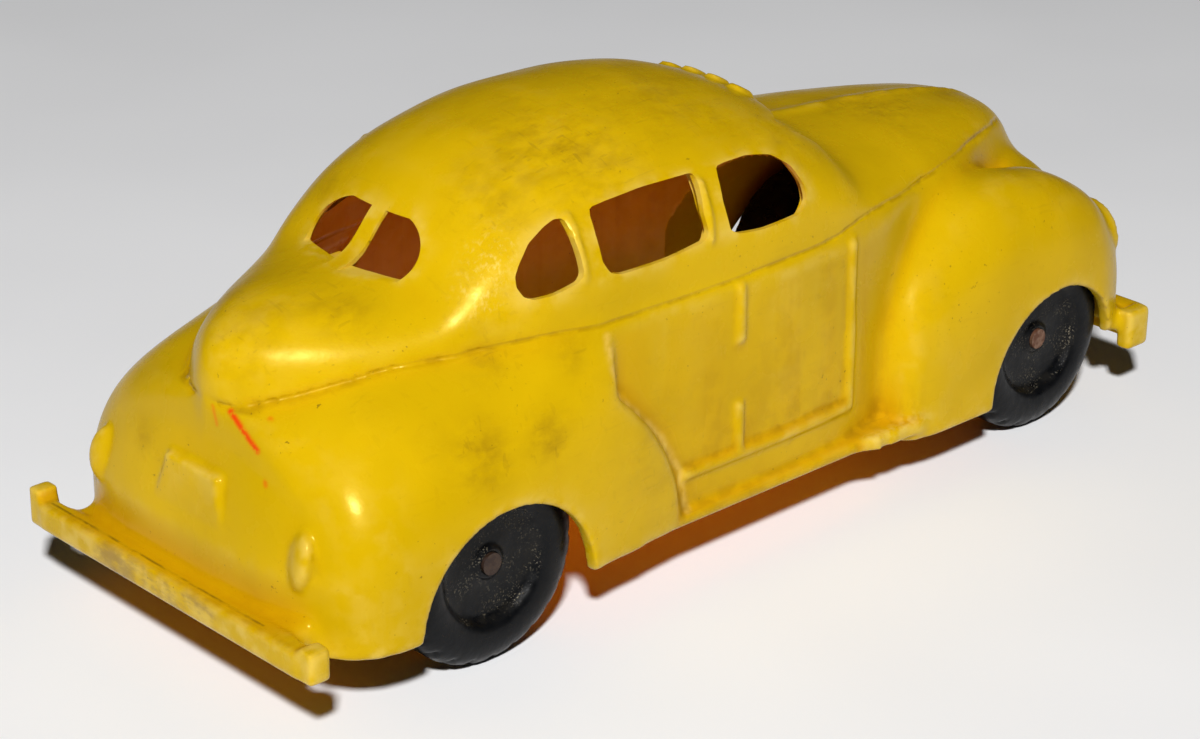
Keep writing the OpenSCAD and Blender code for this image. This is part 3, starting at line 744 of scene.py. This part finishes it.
class Paint:
    """One material: a shader and the patterns it is mixed from, in millimetres on the object."""

    def __init__(self, name):
        self.mat = bpy.data.materials.new(name)
        self.mat.use_nodes = True
        self.tree = self.mat.node_tree
        self.shader = self.tree.nodes["Principled BSDF"]
        coord = self.add("TexCoord", out="Object")
        self.at = self.add("VectorMath", {0: coord, 1: (1 / MM, 1 / MM, 1 / MM)}, operation="MULTIPLY")

    def add(self, kind, values=None, out=0, **props):
        """Adds one node to this material."""
        return node(self.tree, kind, values, out, **props)

    def set(self, **values):
        """Gives the shader's sockets a constant or a link."""
        for k, v in values.items():
            s = self.shader.inputs[k.replace("_", " ")]
            if isinstance(v, bpy.types.NodeSocket):
                self.tree.links.new(v, s)
            else:
                s.default_value = v

    def cloud(self, size, detail=3, stretch=(1, 1, 1), rough=.5):
        """Cloudy variation about so many millimetres across."""
        p = self.add("VectorMath", {0: self.at, 1: stretch}, operation="DIVIDE")
        return self.add("TexNoise", {"Vector": p, "Scale": 1 / size, "Detail": detail, "Roughness": rough})

    def blotches(self, size, lo, hi, low=0, high=1, detail=3, stretch=(1, 1, 1), rough=.5):
        """A cloud pulled apart into blotches: low below lo, high above hi."""
        cloud = self.cloud(size, detail, stretch, rough)
        levels = {0: cloud, 1: lo, 2: hi, 3: low, 4: high}
        return self.add("MapRange", levels, interpolation_type="SMOOTHSTEP")

    def fade(self, axis, lo, hi, low=0, high=1):
        """A smooth change along an axis of the car."""
        place = self.add("SeparateXYZ", {0: self.at}, axis)
        levels = {0: place, 1: lo, 2: hi, 3: low, 4: high}
        return self.add("MapRange", levels, interpolation_type="SMOOTHSTEP")

    def layer(self, tone, code, *shares):
        """Lays a colour over the tone, as thick as all its shares multiplied."""
        thick = shares[0]
        for share in shares[1:]:
            thick = self.add("Math", {0: thick, 1: share}, operation="MULTIPLY")
        return self.add("Mix", {0: thick, 6: tone, 7: rgb(code)}, 2, data_type="RGBA")

    def near(self, a, b, width):
        """1 on the line from a to b, 0 a width away from it."""
        a, b = Vector(a), Vector(b)
        ab = b - a
        rel = self.add("VectorMath", {0: self.at, 1: a}, operation="SUBTRACT")
        t = self.add("VectorMath", {0: rel, 1: ab / ab.length_squared}, 1, operation="DOT_PRODUCT")
        foot = self.add("VectorMath", {0: ab, "Scale": self.add("Clamp", {0: t})}, operation="SCALE")
        d = self.add("VectorMath", {0: rel, 1: foot}, 1, operation="DISTANCE")
        return self.add("MapRange", {0: d, 1: 0, 2: width, 3: 1, 4: 0}, interpolation_type="SMOOTHSTEP")

    def bumper_wear_and_shade(self, tone):
        """Painted shade on the rear ledge, drawn as a deeper yellow; brown rubbed patches and a dirty line
        along the bar.
        """
        # painted shade: the ledge between the rear bar and the body drawn a deeper yellow
        tone = self.layer(tone, "#B98100", self.near((-57.6, 15, 11), (-57.6, -15, 11), 3.6), .55)
        bar = self.near((-60, 8.5, 8.2), (-60, -6.5, 8), 3.6)
        zone = self.add("Math", {0: self.fade("X", -59, -59.7), 1: bar}, operation="MULTIPLY")
        zone = self.add("MapRange", {0: zone, 1: .1, 2: .6}, interpolation_type="SMOOTHSTEP")
        rubbed = self.blotches(1.6, .4, .62, detail=6, stretch=(1, 2.6, 1), rough=.62)
        tone = self.layer(tone, "#8C6E3A", rubbed, zone, .7)
        broken = self.blotches(.9, .36, .62, .15, 1, detail=4, stretch=(1, 2, 1))
        return self.layer(tone, "#5A420C", self.near((-58.9, 19, 10.4), (-58.9, -14, 10.4), .26), broken, .7)

    def worn_joint(self):
        """1 along the joint between rear fender and door."""
        worn = self.near(JOINT[0], JOINT[1], .9)
        for a, b in zip(JOINT[1:], JOINT[2:]):
            worn = self.add("Math", {0: worn, 1: self.near(a, b, .9)}, operation="MAXIMUM")
        return worn

    def seam(self):
        """1 along the crease that runs under the tail, over the doors and beside the hood."""
        back, length, low, height = -55, 108, 24, 10
        place = self.add("SeparateXYZ", {0: self.at}, None).outputs
        along = self.add("MapRange", {0: place["X"], 1: back, 2: back + length})
        level = self.add("FloatCurve", {"Value": along}, None)
        points = level.mapping.curves[0].points
        heights = [((x - back) / length, (z - low) / height) for x, _, z, _ in CREASE]
        points[0].location, points[1].location = heights[0], heights[-1]
        for h in heights[1:-1]:
            points.new(*h)
        level.mapping.update()
        z = self.add("Math", {0: level.outputs[0], 1: height, 2: low}, operation="MULTIPLY_ADD")
        off = self.add("Math", {0: place["Z"], 1: z}, operation="SUBTRACT")
        off = self.add("Math", {0: off}, operation="ABSOLUTE")
        line = self.add("MapRange", {0: off, 1: .04, 2: .34, 3: 1, 4: 0}, interpolation_type="SMOOTHSTEP")
        tail, nose = self.fade("X", -54.6, -54), self.fade("X", 52.5, 51)
        ends = self.add("Math", {0: tail, 1: nose}, operation="MULTIPLY")
        return self.add("Math", {0: line, 1: ends}, operation="MULTIPLY")

    def crayon(self, tone):
        """One thin red mark under the tail and a few red specks beside it."""
        wax = self.blotches(.5, .3, .5, .4, 1)
        for a, b, width, share in WAX_MARKS:
            tone = self.layer(tone, "#D8260A", self.near(a, b, width), wax, share)
        return tone

    def relief(self, height, depth):
        """Fine unevenness of the surface, so many millimetres deep."""
        self.set(Normal=self.add("Bump", {"Height": height, "Strength": 1, "Distance": depth * MM}))


def mark_wear_and_shade(o):
    """Stores how hollow, edged and soiled the surface is, for wear, dirt and painted shade."""
    me = o.data
    co, ed = mesh_arrays(me)
    deg = np.maximum(1, np.bincount(ed.ravel(), minlength=len(co)))
    nor = vertex_normals(me)

    def depth(steps):
        v = co.copy()
        for _ in range(steps):
            v = np.stack([neighbour_sum(ed, v[:, j]) / deg for j in range(3)], 1)
        return ((v - co) * nor).sum(1) / MM

    small, broad = depth(6), depth(60)
    for name, v in (("hollow", np.clip(broad / .6, 0, 1)), ("crease", np.clip((small - .03) / .1, 0, 1)),
                    ("edge", np.clip((-small - .03) / .12, 0, 1))):
        for _ in range(2):
            v = neighbour_sum(ed, v) / deg
        store(me, name, v)
    soiled = np.zeros(len(co))
    for x, y, z, r, share in TOUCHED:
        soiled = np.maximum(soiled, share * np.exp(-((co / MM - (x, y, z)) ** 2).sum(1) / r ** 2))
    store(me, "touch", soiled)


def plastic():
    """Yellow plastic, moulded in a polished mould: an even colour with a soft, narrow, yellowish sheen.

    Handling made it pale on the edges, and smudged and specked on top. Painted shade makes it a deeper yellow
    in the hollows, and the creases carry dirt and painted shade.
    """
    p = Paint("yellow_plastic")
    names = ("hollow", "crease", "edge", "touch")
    hollow, crease, edge, touch = (p.add("Attribute", out="Fac", attribute_name=n) for n in names)
    tone = p.layer(rgb("#BE9A04"), "#CAA406", p.blotches(16, .35, .65))
    # painted shade: the hollows drawn a deeper, darker yellow
    tone = p.layer(tone, "#C28C00", hollow, .7)
    # soft brown smudges, thin all over the top and thicker where the car is held
    normal = p.add("NewGeometry", out="Normal")
    up = p.add("SeparateXYZ", {0: normal}, "Z")
    thin = p.add("MapRange", {0: up, 1: .1, 2: .8, 3: .06, 4: .32}, interpolation_type="SMOOTHSTEP")
    film = p.add("Math", {0: p.blotches(13, .46, .74), 1: thin}, operation="MULTIPLY")
    held = p.add("Math", {0: touch, 1: .62, 2: film}, operation="MULTIPLY_ADD")
    streaky = p.blotches(2.4, .34, .7, .1, 1, detail=7, stretch=(1.6, 1, 1), rough=.7)
    smudge = p.add("Math", {0: held, 1: streaky}, operation="MULTIPLY")
    tone = p.layer(tone, "#7A570A", smudge)
    # scratches in two directions, drawn coarser than real hairlines so that they show
    share = p.add("Math", {0: held, 1: .5, 2: .04}, operation="MULTIPLY_ADD")
    for size, stretch in ((.45, (9, 1, 1)), (.65, (1, 7, 2))):
        tone = p.layer(tone, "#7A5C10", p.blotches(size, .64, .7, detail=2, stretch=stretch), share)
    # pale scratches behind the rear side windows
    fine = p.blotches(.5, .48, .78, detail=4, stretch=(1, 1, 4), rough=.6)
    tone = p.layer(tone, "#E0C66A", p.near((-31, -13.5, 39), (-33, -14.5, 35.5), 4.5), fine, .6)
    # the worn top of the loose flap on the running board
    flap = p.near((14, -21, 8.4), (22, -21, 8.4), 1.7)
    tone = p.layer(tone, "#DDC56C", flap, p.blotches(1.1, .4, .6, detail=4), .3)
    # the pale worn joint line between rear fender and door
    tone = p.layer(tone, "#DDB752", p.worn_joint(), p.blotches(1.2, .35, .6, .2, .8, detail=4))
    # dirt and painted shade in the creases, less of it on the hood, and along the seam
    seam = p.seam()
    dirt_and_shade = p.add("Math", {0: crease, 1: p.fade("X", 44, 38, .1, .5)}, operation="MULTIPLY")
    line = p.add("Math", {0: seam, 1: .34}, operation="MULTIPLY")
    dirt_and_shade = p.add("Math", {0: dirt_and_shade, 1: line}, operation="MAXIMUM")
    tone = p.layer(tone, "#7A5206", dirt_and_shade, p.blotches(2, .36, .62, .1, 1, detail=4))
    # pale rubbed edges and dark specks
    tone = p.layer(tone, "#DCC064", edge, p.blotches(2.6, .38, .62, detail=4), .5)
    tone = p.layer(tone, "#5A4210", p.blotches(.45, .69, .74, detail=2), p.blotches(8, .5, .62), .6)
    tone = p.crayon(p.bumper_wear_and_shade(tone))
    # duller under smudges and in the corners
    polish = p.blotches(5, .3, .7, .19, .3, detail=5)
    dull = p.add("Math", {0: smudge, 1: .3, 2: polish}, operation="MULTIPLY_ADD")
    matt = p.add("Math", {0: hollow, 1: .8}, operation="MULTIPLY")
    p.set(Base_Color=tone, Roughness=p.add("Math", {0: dull, 1: matt}, operation="MAXIMUM"), IOR=1.45,
          Specular_IOR_Level=.2, Specular_Tint=(1, .85, .25, 1),
          Subsurface_Weight=.12, Subsurface_Radius=(1, .6, .12), Subsurface_Scale=.0008)
    uneven = p.add("Math", {0: p.cloud(1.6, 4), 1: .12}, operation="MULTIPLY")
    uneven = p.add("Math", {0: smudge, 1: .04, 2: uneven}, operation="MULTIPLY_ADD")
    p.relief(p.add("Math", {0: seam, 1: -.3, 2: uneven}, operation="MULTIPLY_ADD"), .25)
    return p.mat


def tyre_plastic():
    """Black plastic from a slightly rough mould: near black, a half matt sheen, grey dust in the dish."""
    p = Paint("black_plastic")
    tone = p.layer(rgb("#07080A"), "#101011", p.blotches(2.5, .45, .75, detail=5))
    dish = p.add("Attribute", out="Fac", attribute_name="dish")
    tone = p.layer(tone, "#2B2823", dish, .35, p.blotches(1.6, .4, .7, detail=5))
    # dust grains, drawn coarser than real dust so that they show
    grain = p.add("Math", {0: p.blotches(.2, .56, .68), 1: p.blotches(2.6, .42, .62)}, operation="MULTIPLY")
    tone = p.layer(tone, "#7C7462", grain, dish)
    p.set(Base_Color=tone, Roughness=p.blotches(1.2, .3, .7, .26, .42, detail=4), IOR=1.42,
          Specular_IOR_Level=.22)
    p.relief(p.add("Math", {0: grain, 1: dish, 2: p.cloud(.8, 3)}, operation="MULTIPLY_ADD"), .04)
    return p.mat


def rusty_wire():
    """Drawn steel wire gone rusty: brown, dull and uneven, a little metal left, blackened at the rear."""
    p = Paint("rusty_steel")
    rust = p.blotches(.7, .4, .6, detail=5)
    tone = p.layer(rgb("#7A5A45"), "#56321E", rust)
    tone = p.layer(tone, "#15100C", p.fade("X", 10, -20, 0, .8))
    metal = p.add("MapRange", {0: rust, 3: .5, 4: .1}, interpolation_type="SMOOTHSTEP")
    rough = p.add("MapRange", {0: rust, 3: .35, 4: .7}, interpolation_type="SMOOTHSTEP")
    p.set(Base_Color=tone, Metallic=metal, Roughness=rough)
    p.relief(p.cloud(.4, 4), .04)
    return p.mat


def paper():
    """Smooth pale paper: matt and almost even, so that only the shadow shows on it."""
    p = Paint("pale_paper")
    p.set(Base_Color=p.layer(rgb("#ECECED"), "#F0F0F1", p.blotches(60, .3, .7, detail=2)), Roughness=.9)
    return p.mat


mark_wear_and_shade(body)
body.data.materials.clear()
body.data.materials.append(plastic())
black = tyre_plastic()
for w in wheels:
    w.data.materials.append(black)
wire = rusty_wire()
for n in ("front_axle", "rear_axle"):
    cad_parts[n].data.materials.clear()
    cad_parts[n].data.materials.append(wire)

bm = bmesh.new()
bmesh.ops.create_grid(bm, x_segments=1, y_segments=1, size=4)
floor = new_object("floor", bm)
floor.data.materials.append(paper())


def area_lamp(name, place, size, watts, colour, turn, spread):
    """A rectangular lamp: its place and size in metres, how it is turned and how wide it shines."""
    lamp = bpy.data.lights.new(name, "AREA")
    lamp.shape, lamp.size, lamp.size_y = "RECTANGLE", *size
    lamp.energy, lamp.color, lamp.spread = watts, colour, math.radians(spread)
    o = bpy.data.objects.new(name, lamp)
    o.location, o.rotation_euler = place, turn
    bpy.context.scene.collection.objects.link(o)
    return o


# one small lamp behind and above the camera, a metre from the car, so that the shadow stays close under it
KEY_PLACE, KEY_SIZE, KEY_WATTS, AIM = (-.505, -.528, .691), .075, 12.7, (0, 0, .02)
key_turn = (Vector(AIM) - Vector(KEY_PLACE)).to_track_quat("-Z", "Y").to_euler()
area_lamp("key", KEY_PLACE, (KEY_SIZE, KEY_SIZE), KEY_WATTS, (1, 1, 1), key_turn, 180)
# the dim brown light that the thin yellow shell lets through: down to the floor, up inside, under the bumper
DOWN, UP, AMBER = (0, 0, 0), (math.pi, 0, 0), (1, .17, 0)
GLOWS = [((-.004, 0, .0295), (.056, .02), .0013, DOWN, 110),
         ((-.004, 0, .0135), (.05, .014), .0026, UP, 160.27),
         ((-.053, .003, .0055), (.008, .036), .00005, DOWN, 110)]
for place, size, watts, turn, spread in GLOWS:
    area_lamp("glow", place, size, watts, AMBER, turn, spread).visible_camera = False

# the camera sees a white surround, which lights the car only a little
world = bpy.data.worlds.new("studio")
bpy.context.scene.world = world
world.use_nodes = True
wt = world.node_tree
wt.nodes.clear()
seen = node(wt, "LightPath", out="Is Camera Ray")
fill = node(wt, "Background", {"Color": rgb("#F4F6FA"), "Strength": .012})
white = node(wt, "Background", {"Color": rgb("#FFFFFF"), "Strength": 1})
node(wt, "OutputWorld", {0: node(wt, "MixShader", {0: seen, 1: fill, 2: white})}, None)

# Camera at the photo's angle; its focal length is known in pixels of the photo's width
FOCAL_PIXELS, PHOTO_WIDTH, SENSOR = 3076, 1200, 36
CAMERA_PLACE = Vector((-.2029, -.2088, .1417))
yaw, pitch, roll = math.radians(46.5), math.radians(-23.81), math.radians(-.64)
ahead = Vector((math.cos(pitch) * math.cos(yaw), math.cos(pitch) * math.sin(yaw), math.sin(pitch)))
right = ahead.cross(Vector((0, 0, 1))).normalized()
down = ahead.cross(right)
across = right * math.cos(roll) + down * math.sin(roll)
upward = right * math.sin(roll) - down * math.cos(roll)
cam = bpy.data.cameras.new("camera")
cam.sensor_width, cam.lens = SENSOR, FOCAL_PIXELS * SENSOR / PHOTO_WIDTH
cam.clip_start, cam.clip_end = .01, 20
view = bpy.data.objects.new("camera", cam)
view.matrix_world = Matrix.Translation(CAMERA_PLACE) @ Matrix((across, upward, -ahead)).transposed().to_4x4()
bpy.context.scene.collection.objects.link(view)
bpy.context.scene.camera = view
bpy.context.scene.view_settings.view_transform = "Standard"

bpy.context.view_layer.update()
